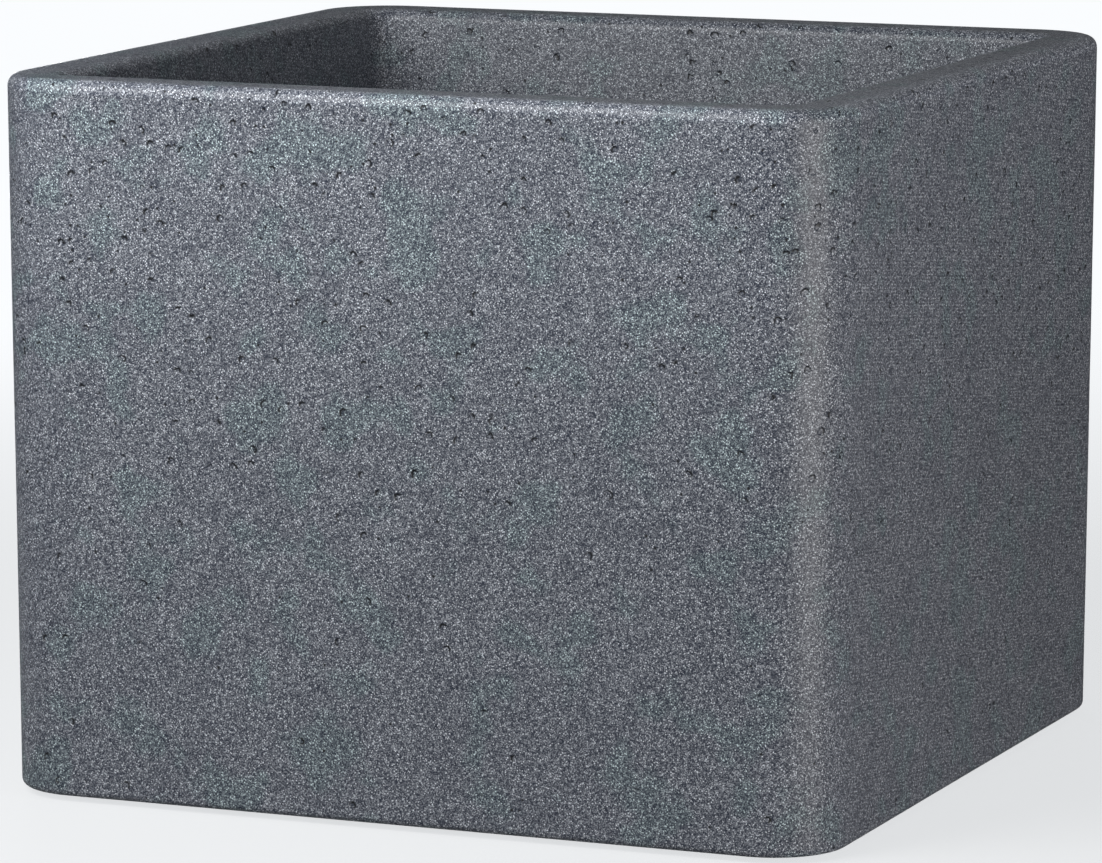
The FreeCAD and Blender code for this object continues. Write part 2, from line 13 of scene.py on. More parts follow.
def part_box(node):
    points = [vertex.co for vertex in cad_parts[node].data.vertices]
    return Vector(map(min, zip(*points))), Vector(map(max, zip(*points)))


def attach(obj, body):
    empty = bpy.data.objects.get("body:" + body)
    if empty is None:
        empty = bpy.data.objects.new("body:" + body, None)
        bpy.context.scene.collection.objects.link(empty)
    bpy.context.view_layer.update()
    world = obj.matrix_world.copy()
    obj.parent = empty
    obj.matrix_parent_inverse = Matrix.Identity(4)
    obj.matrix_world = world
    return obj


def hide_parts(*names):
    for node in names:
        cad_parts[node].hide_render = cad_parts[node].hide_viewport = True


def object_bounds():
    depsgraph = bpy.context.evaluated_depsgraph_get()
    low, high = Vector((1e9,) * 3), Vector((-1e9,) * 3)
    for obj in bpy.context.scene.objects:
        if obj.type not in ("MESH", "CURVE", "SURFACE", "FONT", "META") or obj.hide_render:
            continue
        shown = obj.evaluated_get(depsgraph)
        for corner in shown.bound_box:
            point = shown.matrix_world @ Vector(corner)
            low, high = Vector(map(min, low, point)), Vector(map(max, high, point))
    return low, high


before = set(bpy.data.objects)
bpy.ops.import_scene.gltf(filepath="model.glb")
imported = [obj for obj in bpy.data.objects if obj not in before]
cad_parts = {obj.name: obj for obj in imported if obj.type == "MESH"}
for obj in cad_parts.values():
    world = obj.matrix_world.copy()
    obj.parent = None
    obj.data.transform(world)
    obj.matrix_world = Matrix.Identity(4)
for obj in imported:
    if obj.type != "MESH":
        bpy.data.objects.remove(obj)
CAD_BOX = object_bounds()

LOG = logging.getLogger("planter")
CORNERS = {
    "front_left": (-1, -1),
    "front_right": (1, -1),
    "rear_left": (-1, 1),
    "rear_right": (1, 1),
}


class Coat(Enum):
    """Named surface grades of the small mouldings."""

    SATIN = 0.42
    MATT = 0.62
    DRY = 0.8


# ---------------------------------------------------------------- shader graphs


class ShaderGraph:
    """A material's node tree, with short calls that add and join nodes."""

    def __init__(self, name: str) -> None:
        """Start a material with a principled shader joined to its output.

        Args:
            name: the material's name.
        """
        self.material = bpy.data.materials.new(name)
        self.material.use_nodes = True
        self.tree = self.material.node_tree
        self.tree.nodes.clear()
        output = self.tree.nodes.new("ShaderNodeOutputMaterial")
        self.shader = self.tree.nodes.new("ShaderNodeBsdfPrincipled")
        self.tree.links.new(self.shader.outputs["BSDF"], output.inputs["Surface"])
        self.place = self.tree.nodes.new("ShaderNodeTexCoord").outputs["Object"]

    def add(self, kind: str, values: dict | None = None, **settings: object) -> bpy.types.Node:
        """Add a node.

        Args:
            kind: the node's Blender type.
            values: input names or numbers, each with a value or another node's socket.
            settings: the node's own properties.

        Returns:
            The new node.
        """
        node = self.tree.nodes.new(kind)
        for key, value in settings.items():
            setattr(node, key, value)
        for key, value in (values or {}).items():
            self.feed(node.inputs[key], value)
        return node

    def feed(self, socket: bpy.types.NodeSocket, value: object) -> None:
        """Join a socket to an input, or set the input's value.

        Args:
            socket: the input.
            value: a value, or another node's socket.
        """
        if isinstance(value, bpy.types.NodeSocket):
            self.tree.links.new(value, socket)
        else:
            socket.default_value = value

    def maths(self, operation: str, first: object, second: object = 0.0) -> bpy.types.NodeSocket:
        """Return the result of one sum on two numbers or sockets."""
        node = self.add("ShaderNodeMath", {0: first, 1: second}, operation=operation)
        return node.outputs[0]

    def remap(
        self, value: object, low: float, high: float, to_low: float, to_high: float
    ) -> object:
        """Move a socket's value smoothly from one range to another.

        Args:
            value: the value or socket.
            low: the start of its range.
            high: the end of its range.
            to_low: what the start becomes.
            to_high: what the end becomes.

        Returns:
            The moved value's socket.
        """
        node = self.add(
            "ShaderNodeMapRange",
            {0: value, 1: low, 2: high, 3: to_low, 4: to_high},
            interpolation_type="SMOOTHSTEP",
        )
        return node.outputs[0]

    def mix(self, share: object, first: object, second: object, blend: str = "MIX") -> object:
        """Blend two colours.

        Args:
            share: how much the second colour counts, from 0 to 1.
            first: the first colour.
            second: the second colour.
            blend: how they are blended.

        Returns:
            The blended colour's socket.
        """
        node = self.add("ShaderNodeMix", data_type="RGBA", blend_type=blend)
        for index, value in ((0, share), (6, first), (7, second)):
            self.feed(node.inputs[index], value)
        return node.outputs[2]

    def ramp(self, value: object, stops: list[tuple[float, tuple]], kind: str) -> object:
        """Return a colour picked from a ramp.

        Args:
            value: the place on the ramp, from 0 to 1.
            stops: each stop's place and linear colour.
            kind: the ramp's interpolation, such as CONSTANT or LINEAR.

        Returns:
            The ramp's colour socket.
        """
        node = self.add("ShaderNodeValToRGB", {0: value})
        node.color_ramp.interpolation = kind
        elements = node.color_ramp.elements
        for index, (place, colour) in enumerate(stops):
            if index < len(elements):
                elements[index].position = place
            element = elements[index] if index < len(elements) else elements.new(place)
            element.color = (*colour, 1.0)
        return node.outputs[0]

    def noise(self, size: float, detail: float = 2.0, place: object = None) -> bpy.types.Node:
        """Add a noise whose features are about one size across."""
        values = {"Vector": place or self.place, "Scale": 1.0 / size, "Detail": detail}
        return self.add("ShaderNodeTexNoise", values)

    def cells(self, size: float, place: object = None) -> bpy.types.Node:
        """Add a cell pattern whose cells are about one size across."""
        values = {"Vector": place or self.place, "Scale": 1.0 / size, "Randomness": 1.0}
        return self.add("ShaderNodeTexVoronoi", values, feature="F1")

    def channel(self, colour: object, name: str) -> bpy.types.NodeSocket:
        """Return one channel of a colour: Red, Green or Blue."""
        return self.add("ShaderNodeSeparateColor", {0: colour}).outputs[name]

    def bump(self, height: object, depth: float, under: object = None) -> bpy.types.NodeSocket:
        """Raise the surface's normal by a height.

        Args:
            height: the height, from 0 to 1.
            depth: how deep a height of 1 is.
            under: a normal that this one lies over.

        Returns:
            The raised normal's socket.
        """
        node = self.add("ShaderNodeBump", {"Height": height, "Distance": depth, "Strength": 1.0})
        if under is not None:
            self.feed(node.inputs["Normal"], under)
        return node.outputs["Normal"]


# ---------------------------------------------------------------- finishes


@dataclass(frozen=True)
class GraniteFinish:
    """Granite-look moulding plastic: pale and dark grains sintered into one satin skin."""

    body: tuple[float, float, float] = (0.224, 0.235, 0.249)
    blue: tuple[float, float, float] = (0.0, 0.006, 0.026)
    grain: float = 0.00044
    grain_turn: tuple[float, float, float] = (0.61, 0.83, 0.37)
    dust: float = 0.0004
    dust_share: float = 0.15
    dark: float = 0.08
    pale: float = 2.3
    white: float = 3.6
    outline: float = 0.5
    fleck: float = 0.0012
    fleck_edge: float = 0.3
    glint: float = 4.0
    cloud: float = 0.030
    drift: float = 0.024
    dent_spacing: float = 0.0092
    dent_radius: float = 0.0021
    dent_depth: float = 0.0006
    dent_warp: float = 1.1
    dent_share: float = 0.95
    dent_levels: tuple[float, float] = (0.10, 0.27)
    low_dent_share: float = 0.18
    crowd_size: float = 0.06
    sparse_share: float = 0.25
    pin_spacing: float = 0.0048
    pin_radius: float = 0.00075
    pin_share: float = 0.4
    # Near-black colour of the painted shadow under each dent's upper lip.
    painted_shadow_colour: tuple[float, float, float] = (0.004, 0.005, 0.007)
    # Near-black colour painted into each pinhole as painted shade.
    painted_pin_shade: tuple[float, float, float] = (0.02, 0.022, 0.026)
    grain_relief: float = 0.00005
    peel: float = 0.0032
    peel_relief: float = 0.00006
    roughness: float = 0.42
    # The next four set painted light: a painted highlight on the rim's rounded outer edge, and
    # painted light brightening the wall's upper band.
    painted_highlight_gain: float = 0.28
    painted_highlight_drops: tuple[float, float] = (0.0064, 0.0050)
    painted_top_light_gain: float = 0.17
    painted_top_light_drops: tuple[float, float] = (0.2, 0.01)
    outside_insets: tuple[float, float] = (0.011, 0.003)

    def grains(self, graph: ShaderGraph) -> tuple[object, object]:
        """Add the grains.

        Args:
            graph: the material's graph.

        Returns:
            The grains' brightness about 1, and each speck's own random number.
        """
        turn = {"Vector": graph.place, "Rotation": self.grain_turn}
        turned = graph.add("ShaderNodeMapping", turn).outputs[0]
        cells = graph.cells(self.grain, turned)
        pick = graph.channel(cells.outputs["Color"], "Red")
        stops = ((0.0, self.dark), (0.3, 0.5), (0.52, 1.1), (0.78, self.pale), (0.93, self.white))
        grain = graph.ramp(pick, [(at, (tone * 0.125,) * 3) for at, tone in stops], "CONSTANT")
        face = graph.remap(cells.outputs["Distance"], 0.2, 0.8, 1.0, 1.0 - self.outline)
        shaped = graph.maths("MULTIPLY", grain, face)
        fines = graph.cells(self.dust, turned)
        speck = graph.channel(fines.outputs["Color"], "Green")
        stops = ((0.0, self.dark), (0.35, 0.8), (0.65, 1.6), (0.9, self.white))
        fine = graph.ramp(speck, [(at, (tone * 0.125,) * 3) for at, tone in stops], "CONSTANT")
        first = graph.maths("MULTIPLY", shaped, 1.0 - self.dust_share)
        second = graph.maths("MULTIPLY", fine, self.dust_share)
        blend = graph.maths("ADD", first, second)
        flecks = graph.cells(self.fleck, turned)
        pick = graph.channel(flecks.outputs["Color"], "Red")
        kind = graph.ramp(pick, [(0.0, (0.01,) * 3), (0.5, (self.glint * 0.125,) * 3)], "CONSTANT")
        reach = graph.ramp(pick, [(0.0, (0.82,) * 3), (0.5, (1.0,) * 3)], "CONSTANT")
        away = graph.maths("MULTIPLY", flecks.outputs["Distance"], reach)
        spot = graph.remap(away, self.fleck_edge, 0.6 * self.fleck_edge, 0.0, 1.0)
        return graph.mix(spot, blend, kind), speck

    def dents(
        self, graph: ShaderGraph, spacing: float, radius: float, share: float
    ) -> tuple[object, object]:
        """Add one size of burst bubbles, which are closer together towards the rim.

        Args:
            graph: the material's graph.
            spacing: how far apart their places are.
            radius: the radius of the largest.
            share: how many of the places near the rim hold one, from 0 to 1.

        Returns:
            A mask that is 1 inside a dent, and a mask of the painted shadow under its upper lip.
        """
        warp = graph.noise(1.6 * radius, 2.0).outputs["Color"]
        centred = {0: warp, 1: (0.5, 0.5, 0.5)}
        shift = graph.add("ShaderNodeVectorMath", centred, operation="SUBTRACT")
        scaled = graph.add(
            "ShaderNodeVectorMath",
            {0: shift.outputs[0], "Scale": self.dent_warp * radius},
            operation="SCALE",
        )
        place = graph.add("ShaderNodeVectorMath", {0: graph.place, 1: scaled.outputs[0]})
        cells = graph.cells(spacing, place.outputs[0])
        pick = graph.channel(cells.outputs["Color"], "Blue")
        height = graph.add("ShaderNodeSeparateXYZ", {0: graph.place}).outputs["Z"]
        low, high = self.dent_levels
        chance = graph.remap(height, low, high, self.low_dent_share * share, share)
        patches = graph.noise(self.crowd_size, 1.0).outputs["Fac"]
        crowd = graph.remap(patches, 0.35, 0.6, self.sparse_share, 1.0)
        open_dent = graph.maths("LESS_THAN", pick, graph.maths("MULTIPLY", chance, crowd))
        edge = radius / spacing
        hole = graph.remap(cells.outputs["Distance"], edge, edge * 0.62, 0.0, 1.0)
        core = graph.remap(cells.outputs["Distance"], edge * 0.3, edge * 0.62, 0.0, 1.0)
        middle = {0: place.outputs[0], 1: cells.outputs["Position"]}
        offset = graph.add("ShaderNodeVectorMath", middle, operation="SUBTRACT")
        lean = {0: cells.outputs["Color"], 1: (0.5, 0.5, 0.0)}
        lip = graph.add("ShaderNodeVectorMath", lean, operation="SUBTRACT")
        side = graph.add("ShaderNodeVectorMath", {0: lip.outputs[0]}, operation="NORMALIZE")
        rise = {0: offset.outputs[0], 1: side.outputs[0]}
        rise = graph.add("ShaderNodeVectorMath", rise, operation="DOT_PRODUCT").outputs["Value"]
        # Painted shadow: a dark crescent under each dent's upper lip, where shade would fall from
        # light above.
        upper = graph.remap(rise, -0.25 * radius, 0.2 * radius, 0.0, 1.0)
        painted_dent_shadow = graph.maths("MULTIPLY", graph.maths("MULTIPLY", hole, core), upper)
        dent = graph.maths("MULTIPLY", hole, open_dent)
        return dent, graph.maths("MULTIPLY", painted_dent_shadow, open_dent)

    def painted_rim_light(self, graph: ShaderGraph, rim_level: float, half: float) -> tuple[object, object]:
        """Paint light near the rim: a painted highlight on its rounded outer edge, and painted
        light that brightens the wall's upper band.

        Args:
            graph: the material's graph.
            rim_level: the rim's height.
            half: half of the planter's width.

        Returns:
            Masks of the painted highlight on the rim's rounded outer edge and of the painted light
            on the wall's upper band.
        """
        parts = graph.add("ShaderNodeSeparateXYZ", {0: graph.place}).outputs
        reach_x = graph.maths("ABSOLUTE", parts["X"])
        reach_y = graph.maths("ABSOLUTE", parts["Y"])
        reach = graph.maths("MAXIMUM", reach_x, reach_y)
        inner, outer = self.outside_insets
        outside = graph.remap(reach, half - inner, half - outer, 0.0, 1.0)
        low, high = self.painted_highlight_drops
        edge = graph.remap(parts["Z"], rim_level - low, rim_level - high, 0.0, 1.0)
        low, high = self.painted_top_light_drops
        band = graph.remap(parts["Z"], rim_level - low, rim_level - high, 0.0, 1.0)
        return graph.maths("MULTIPLY", edge, outside), graph.maths("MULTIPLY", band, outside)

    def material(self, rim_level: float, half: float) -> bpy.types.Material:
        """Build the material.

        Args:
            rim_level: the rim's height.
            half: half of the planter's width.

        Returns:
            The granite-speckled plastic.
        """
        graph = ShaderGraph("granite_plastic")
        tone, speck = self.grains(graph)
        base = tuple(8.0 * part for part in self.body)
        speckle = graph.mix(1.0, tone, (*base, 1.0), "MULTIPLY")
        cloud = graph.noise(self.cloud, 3.0).outputs["Fac"]
        shade = graph.ramp(cloud, [(0.3, (0.9,) * 3), (0.7, (1.0,) * 3)], "LINEAR")
        clouded = graph.mix(1.0, speckle, shade, "MULTIPLY")
        drift = graph.noise(self.drift, 2.0).outputs["Fac"]
        tint = graph.ramp(drift, [(0.53, (1.0,) * 3), (0.62, (0.93, 1.035, 0.995))], "LINEAR")
        tinted = graph.mix(1.0, clouded, tint, "MULTIPLY")
        tinted = graph.mix(1.0, tinted, (*self.blue, 1.0), "ADD")
        # Painted light: the colour is scaled up on the rim's outer edge as a painted highlight, and
        # on the wall's upper band as painted light.
        edge, band = self.painted_rim_light(graph, rim_level, half)
        painted_light_gain = graph.maths("ADD", graph.maths("MULTIPLY", edge, self.painted_highlight_gain), 1.0)
        painted_light_gain = graph.maths("ADD", painted_light_gain, graph.maths("MULTIPLY", band, self.painted_top_light_gain))
        painted_light = graph.add("ShaderNodeVectorMath", {0: tinted, "Scale": painted_light_gain}, operation="SCALE")
        tinted = painted_light.outputs[0]
        dent, painted_dent_shadow = self.dents(graph, self.dent_spacing, self.dent_radius, self.dent_share)
        pin, _ = self.dents(graph, self.pin_spacing, self.pin_radius, self.pin_share)
        # Painted shadow: the dents' upper lips are painted near-black.
        shaded = graph.mix(painted_dent_shadow, tinted, (*self.painted_shadow_colour, 1.0))
        # Painted shade: each pinhole is filled near-black.
        pitted = graph.mix(pin, shaded, (*self.painted_pin_shade, 1.0))
        graph.feed(graph.shader.inputs["Base Color"], pitted)

        rough = graph.remap(speck, 0.0, 1.0, self.roughness - 0.06, self.roughness + 0.08)
        graph.feed(graph.shader.inputs["Roughness"], rough)

        peel = graph.noise(self.peel, 2.0).outputs["Fac"]
        skin = graph.bump(peel, self.peel_relief)
        grainy = graph.bump(tone, self.grain_relief, skin)
        depth = graph.maths("SUBTRACT", 1.0, graph.maths("MAXIMUM", dent, pin))
        graph.feed(graph.shader.inputs["Normal"], graph.bump(depth, self.dent_depth, grainy))
        return graph.material


@dataclass(frozen=True)
class MouldedFinish:
    """Plain moulded plastic or rubber with a fine spark texture and random pale and dark blotches.
    """

    name: str
    colour: tuple[float, float, float]
    coat: Coat
    grain: float = 0.00044
    relief: float = 0.00003
    blotch: float = 0.012

    def material(self) -> bpy.types.Material:
        """Build the material.

        Returns:
            The moulded finish.
        """
        graph = ShaderGraph(self.name)
        spark = graph.noise(self.grain, 3.0).outputs["Fac"]
        blotch = graph.noise(self.blotch, 3.0).outputs["Fac"]
        dark = tuple(0.8 * part for part in self.colour)
        pale = tuple(1.25 * part + 0.006 for part in self.colour)
        base = graph.ramp(blotch, [(0.35, dark), (0.65, pale)], "LINEAR")
        dusty = graph.mix(graph.remap(spark, 0.55, 0.8, 0.0, 0.25), base, (0.2, 0.2, 0.2, 1.0))
        graph.feed(graph.shader.inputs["Base Color"], dusty)
        rough = graph.remap(blotch, 0.3, 0.7, self.coat.value - 0.06, self.coat.value + 0.08)
        graph.feed(graph.shader.inputs["Roughness"], rough)
        graph.feed(graph.shader.inputs["Normal"], graph.bump(spark, self.relief))
        return graph.material


# ---------------------------------------------------------------- mesh weaving


@dataclass(frozen=True)
class Ring:
    """One level of a rounded-rectangle section.

    Attributes:
        half_x: half of its width.
        half_y: half of its depth.
        corner: its corner radius in plan.
        level: its height.
        sink: how much of the wall's hollow it takes, from 0 to 1.
        wave: how much of the wall's waviness it takes, from 0 to 1.
    """

    half_x: float
    half_y: float
    corner: float
    level: float
    sink: float = 0.0
    wave: float = 0.0

    def grown(self, amount: float, level: float, wave: float | None = None) -> "Ring":
        """Offset the ring in plan.

        Args:
            amount: how far outwards.
            level: the new ring's height.
            wave: its share of the wall's waviness, where that changes.

        Returns:
            The offset ring.
        """
        return Ring(
            self.half_x + amount,
            self.half_y + amount,
            self.corner + amount,
            level,
            self.sink,
            self.wave if wave is None else wave,
        )


def between(first: Ring, last: Ring, share: float) -> Ring:
    """Find the ring at a share of the way from one ring to another.

    Args:
        first: the ring at a share of 0.
        last: the ring at a share of 1.
        share: how far along.

    Returns:
        The ring between them.
    """
    pairs = zip(
        (first.half_x, first.half_y, first.corner, first.level, first.sink, first.wave),
        (last.half_x, last.half_y, last.corner, last.level, last.sink, last.wave),
    )
    return Ring(*(start + (end - start) * share for start, end in pairs))


class MeshWeaver:
    """Weaves loops of points into one closed mesh."""

    def __init__(self) -> None:
        """Start an empty mesh."""
        self.mesh = bmesh.new()

    def loop(self, points: list[Vector]) -> list[bmesh.types.BMVert]:
        """Add a loop of loose points."""
        return [self.mesh.verts.new(point) for point in points]

    def bridge(self, lower: list, upper: list) -> None:
        """Join two loops of equal length with smooth four-sided faces.

        Args:
            lower: the first loop's vertices.
            upper: the second loop's vertices.
        """
        count = len(lower)
        for index in range(count):
            following = (index + 1) % count
            corners = (lower[index], lower[following], upper[following], upper[index])
            self.mesh.faces.new(corners).smooth = True

    def sweep(self, loops: list[list[Vector]]) -> tuple[list, list]:
        """Join a row of loops.

        Args:
            loops: the points of each loop, all of one length.

        Returns:
            The first and the last loop's vertices.
        """
        first = self.loop(loops[0])
        last = first
        for points in loops[1:]:
            following = self.loop(points)
            self.bridge(last, following)
            last = following
        return first, last

    def patch(self, loops: list[list]) -> None:
        """Fill the flat space between an outer loop and the loops inside it.

        Args:
            loops: the vertices of each loop.
        """
        edges = []
        for loop in loops:
            for start, end in zip(loop, loop[1:] + loop[:1]):
                edge = self.mesh.edges.get((start, end)) or self.mesh.edges.new((start, end))
                edges.append(edge)
        made = bmesh.ops.triangle_fill(
            self.mesh, use_beauty=True, use_dissolve=False, edges=edges, normal=(0, 0, 1)
        )
        for item in made["geom"]:
            if isinstance(item, bmesh.types.BMFace):
                item.smooth = False

    def cap(self, loop: list) -> None:
        """Close a loop with one flat face."""
        self.mesh.faces.new(loop).smooth = False

    def finish(self, name: str, material: bpy.types.Material) -> bpy.types.Object:
        """Turn the weave into an object.

        Args:
            name: the object's name.
            material: its finish.

        Returns:
            The new object, linked to the scene.
        """
        bmesh.ops.recalc_face_normals(self.mesh, faces=self.mesh.faces)
        data = bpy.data.meshes.new(name)
        self.mesh.to_mesh(data)
        self.mesh.free()
        data.materials.append(material)
        piece = bpy.data.objects.new(name, data)
        bpy.context.scene.collection.objects.link(piece)
        return piece


def circle(centre: tuple[float, float], radius: float, level: float, steps: int) -> list[Vector]:
    """Find the points of a level circle.

    Args:
        centre: its centre in plan.
        radius: its radius.
        level: its height.
        steps: how many points it has.

    Returns:
        The points.
    """
    angles = [2 * math.pi * index / steps for index in range(steps)]
    return [
        Vector((centre[0] + radius * math.cos(a), centre[1] + radius * math.sin(a), level))
        for a in angles
    ]


def quarter(steps: int) -> list[tuple[float, float]]:
    """Return (1 - cos, 1 - sin) for angles from nought to a quarter turn."""
    angles = [math.pi / 2 * index / steps for index in range(steps + 1)]
    return [(1 - math.cos(angle), 1 - math.sin(angle)) for angle in angles]


# ---------------------------------------------------------------- planter shell


@dataclass
class PlanterShell:
    """The hollow double-walled moulding: base, walls, rim, bowl and drains."""

    finish: GraniteFinish
    side_draft: float = math.radians(0.48)
    corner: float = 0.0372
    rim_width: float = 0.0266
    rim_outer_round: float = 0.0054
    rim_inner_round: float = 0.0052
    base_round: float = 0.0032
    bowl_draft: float = math.radians(5.0)
    floor_rise: float = 0.036
    floor_corner: float = 0.015
    floor_round: float = 0.009
    band: float = 0.046
    recess_depth: float = 0.012
    recess_corner: float = 0.022
    recess_round: float = 0.003
    skin: float = 0.004
    drain_half: float = 0.085
    drain_radius: float = 0.009
    seat_radius: float = 0.018
    seat_depth: float = 0.006
    lip_round: float = 0.0015
    mouth_round: float = 0.001
    foot_seat_radius: float = 0.0125
    foot_seat_depth: float = 0.002
    foot_socket_radius: float = 0.0045
    foot_socket_depth: float = 0.013
    foot_inset: float = 0.031
    vent_radius: float = 0.006
    hollow: float = 0.0006
    waviness: float = 0.00008
    wave_size: float = 0.045
    hold: float = 0.0004
    side_steps: int = 64
    corner_steps: int = 16
    round_steps: int = 8
    wall_steps: int = 62

    def __post_init__(self) -> None:
        """Read the overall sizes from the frame."""
        low, high = (Vector(corner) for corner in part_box("planter_shell"))
        self.base_level = low.z
        self.rim_level = high.z
        trim = self.rim_outer_round * math.tan(self.side_draft)
        self.half_x = (high.x - low.x) / 2 + trim
        self.half_y = (high.y - low.y) / 2 + trim
        self.height = self.rim_level - self.base_level
        self.floor_level = self.base_level + self.floor_rise
        self.roof_level = self.base_level + self.recess_depth
        self.seat_level = self.floor_level - self.seat_depth

    # -- sections

    def outer(self, level: float) -> Ring:
        """Find the outer wall's section.

        Args:
            level: the section's height.

        Returns:
            The section.
        """
        lean = (self.rim_level - level) * math.tan(self.side_draft)
        share = (level - self.base_level) / self.height
        sink = 0.15 + 0.85 * (1 - (2 * share - 1) ** 2)
        return Ring(
            self.half_x - lean, self.half_y - lean, self.corner - lean, level, sink, 1.0
        )

    def mouth(self) -> Ring:
        """Find the bowl's section at the rim.

        Returns:
            The section.
        """
        return Ring(
            self.half_x - self.rim_width,
            self.half_y - self.rim_width,
            self.corner - self.rim_width,
            self.rim_level,
            0.0,
            0.6,
        )

    def bowl(self, level: float) -> Ring:
        """Find the bowl's section.

        Args:
            level: the section's height.

        Returns:
            The section.
        """
        mouth = self.mouth()
        depth = self.rim_level - self.floor_level
        lean = depth * math.tan(self.bowl_draft)
        floor = Ring(
            mouth.half_x - lean, mouth.half_y - lean, self.floor_corner, self.floor_level, 0.0, 0.6
        )
        return between(floor, mouth, (level - self.floor_level) / depth)

    def recess(self, level: float) -> Ring:
        """Return the underside recess's section."""
        base = self.outer(self.base_level)
        return Ring(base.half_x - self.band, base.half_y - self.band, self.recess_corner, level)

    def body_rings(self) -> list[Ring]:
        """Find the sections from the standing band, over the rim, to the bowl's floor.

        Returns:
            The sections in order.
        """
        rings = []
        base = self.outer(self.base_level)
        rings.append(base.grown(-self.base_round - self.hold, self.base_level))
        for sine, cosine in quarter(self.round_steps):
            level = self.base_level + self.base_round * sine
            rings.append(self.outer(level).grown(-self.base_round * cosine, level))
        low = self.base_level + self.base_round + self.hold
        high = self.rim_level - self.rim_outer_round - self.hold
        for index in range(self.wall_steps + 1):
            rings.append(self.outer(low + (high - low) * index / self.wall_steps))
        for inset, drop in quarter(self.round_steps):
            level = self.rim_level - self.rim_outer_round * drop
            rings.append(self.outer(level).grown(-self.rim_outer_round * inset, level))
        rim = self.outer(self.rim_level)
        mouth = self.mouth()
        rings.append(rim.grown(-self.rim_outer_round - self.hold, self.rim_level))
        outer_edge = self.rim_outer_round + self.hold
        inner_edge = self.rim_width - self.rim_inner_round - self.hold
        for share in (0.25, 0.5, 0.75):
            inset = outer_edge + (inner_edge - outer_edge) * share
            rings.append(rim.grown(-inset, self.rim_level))
        rings.append(mouth.grown(self.rim_inner_round + self.hold, self.rim_level))
        for drop, inset in quarter(self.round_steps):
            level = self.rim_level - self.rim_inner_round * drop
            rings.append(self.bowl(level).grown(self.rim_inner_round * inset, level))
        high = self.rim_level - self.rim_inner_round - self.hold
        low = self.floor_level + self.floor_round + self.hold
        for index in range(self.wall_steps + 1):
            rings.append(self.bowl(high + (low - high) * index / self.wall_steps))
        for inset, drop in quarter(self.round_steps):
            level = self.floor_level + self.floor_round * drop
            rings.append(self.bowl(level).grown(-self.floor_round * inset, level))
        inset = self.floor_round + self.hold
        rings.append(self.bowl(self.floor_level).grown(-inset, self.floor_level))
        return rings

    def recess_rings(self) -> list[Ring]:
        """Find the sections from the standing band's inner edge up to the recess's roof.

        Returns:
            The sections in order.
        """
        rings = [self.recess(self.base_level).grown(self.recess_round + self.hold, self.base_level)]
        for rise, inset in quarter(self.round_steps):
            level = self.base_level + self.recess_round * rise
            rings.append(self.recess(level).grown(self.recess_round * inset, level))
        for inset, drop in quarter(self.round_steps):
            level = self.roof_level - self.recess_round * drop
            rings.append(self.recess(level).grown(-self.recess_round * inset, level))
        rings.append(
            self.recess(self.roof_level).grown(-self.recess_round - self.hold, self.roof_level)
        )
        return rings

    # -- points

    def relief(self, ring: Ring, point: Vector, across: float) -> float:
        """Return how far a wall point stands out from its flat place.

        Args:
            ring: the section the point is on.
            point: its place.
            across: its place along its side, from -1 to 1.

        Returns:
            The offset outwards in plan.
        """
        sunk = -self.hollow * ring.sink * (1 - across * across)
        broad = noise.noise(point / self.wave_size)
        fine = noise.noise(point / (self.wave_size * 0.4) + Vector((7.0, 3.0, 5.0)))
        return sunk + self.waviness * ring.wave * (broad + 0.25 * fine)

    def points(self, ring: Ring) -> list[Vector]:
        """Find a section's points, with the wall's hollow and waviness.

        Args:
            ring: the section.

        Returns:
            Its points in order.
        """
        made = []
        in_x = ring.half_x - ring.corner
        in_y = ring.half_y - ring.corner
        for side in range(4):
            turn = side * math.pi / 2
            along = Vector((math.cos(turn), math.sin(turn), 0))
            out = Vector((math.sin(turn), -math.cos(turn), 0))
            run, reach = (in_x, ring.half_y) if side % 2 == 0 else (in_y, ring.half_x)
            for index in range(self.side_steps):
                across = 2 * index / self.side_steps - 1
                spot = along * run * across + out * reach + Vector((0, 0, ring.level))
                made.append(spot + out * self.relief(ring, spot, across))
            centre = along * run + out * (reach - ring.corner) + Vector((0, 0, ring.level))
            for index in range(self.corner_steps):
                angle = math.pi / 2 * index / self.corner_steps
                radial = out * math.cos(angle) + along * math.sin(angle)
                spot = centre + radial * ring.corner
                made.append(spot + radial * self.relief(ring, spot, 1.0))
        return made

    # -- weaving

    def drain_stations(self) -> list[tuple[float, float]]:
        """Find a drain's outline, from the bowl's floor down to the recess's roof.

        Returns:
            Each station's radius and level.
        """
        stations = []
        for inset, drop in quarter(4):
            radius = self.seat_radius + self.lip_round * drop
            stations.append((radius, self.floor_level - self.lip_round * inset))
        stations.append((self.seat_radius, self.seat_level))
        stations.append((self.drain_radius + self.hold, self.seat_level))
        stations.append((self.drain_radius, self.seat_level - self.hold))
        for inset, drop in quarter(4):
            radius = self.drain_radius + self.mouth_round * inset
            stations.append((radius, self.roof_level + self.mouth_round * drop))
        return stations

    def foot_stations(self) -> list[tuple[float, float]]:
        """Find a foot seat's outline, from the standing band up to its socket's end.

        Returns:
            Each station's radius and level.
        """
        seat_top = self.base_level + self.foot_seat_depth
        return [
            (self.foot_seat_radius, self.base_level),
            (self.foot_seat_radius, seat_top),
            (self.foot_socket_radius, seat_top),
            (self.foot_socket_radius, seat_top + self.foot_socket_depth),
        ]

    def turned(
        self, weaver: MeshWeaver, centre: tuple[float, float], stations: list[tuple[float, float]]
    ) -> tuple[list, list]:
        """Weave a round surface about an upright axis.

        Args:
            weaver: the mesh it goes into.
            centre: the axis's place in plan.
            stations: each station's radius and level.

        Returns:
            The first and the last loop's vertices.
        """
        return weaver.sweep([circle(centre, radius, level, 48) for radius, level in stations])

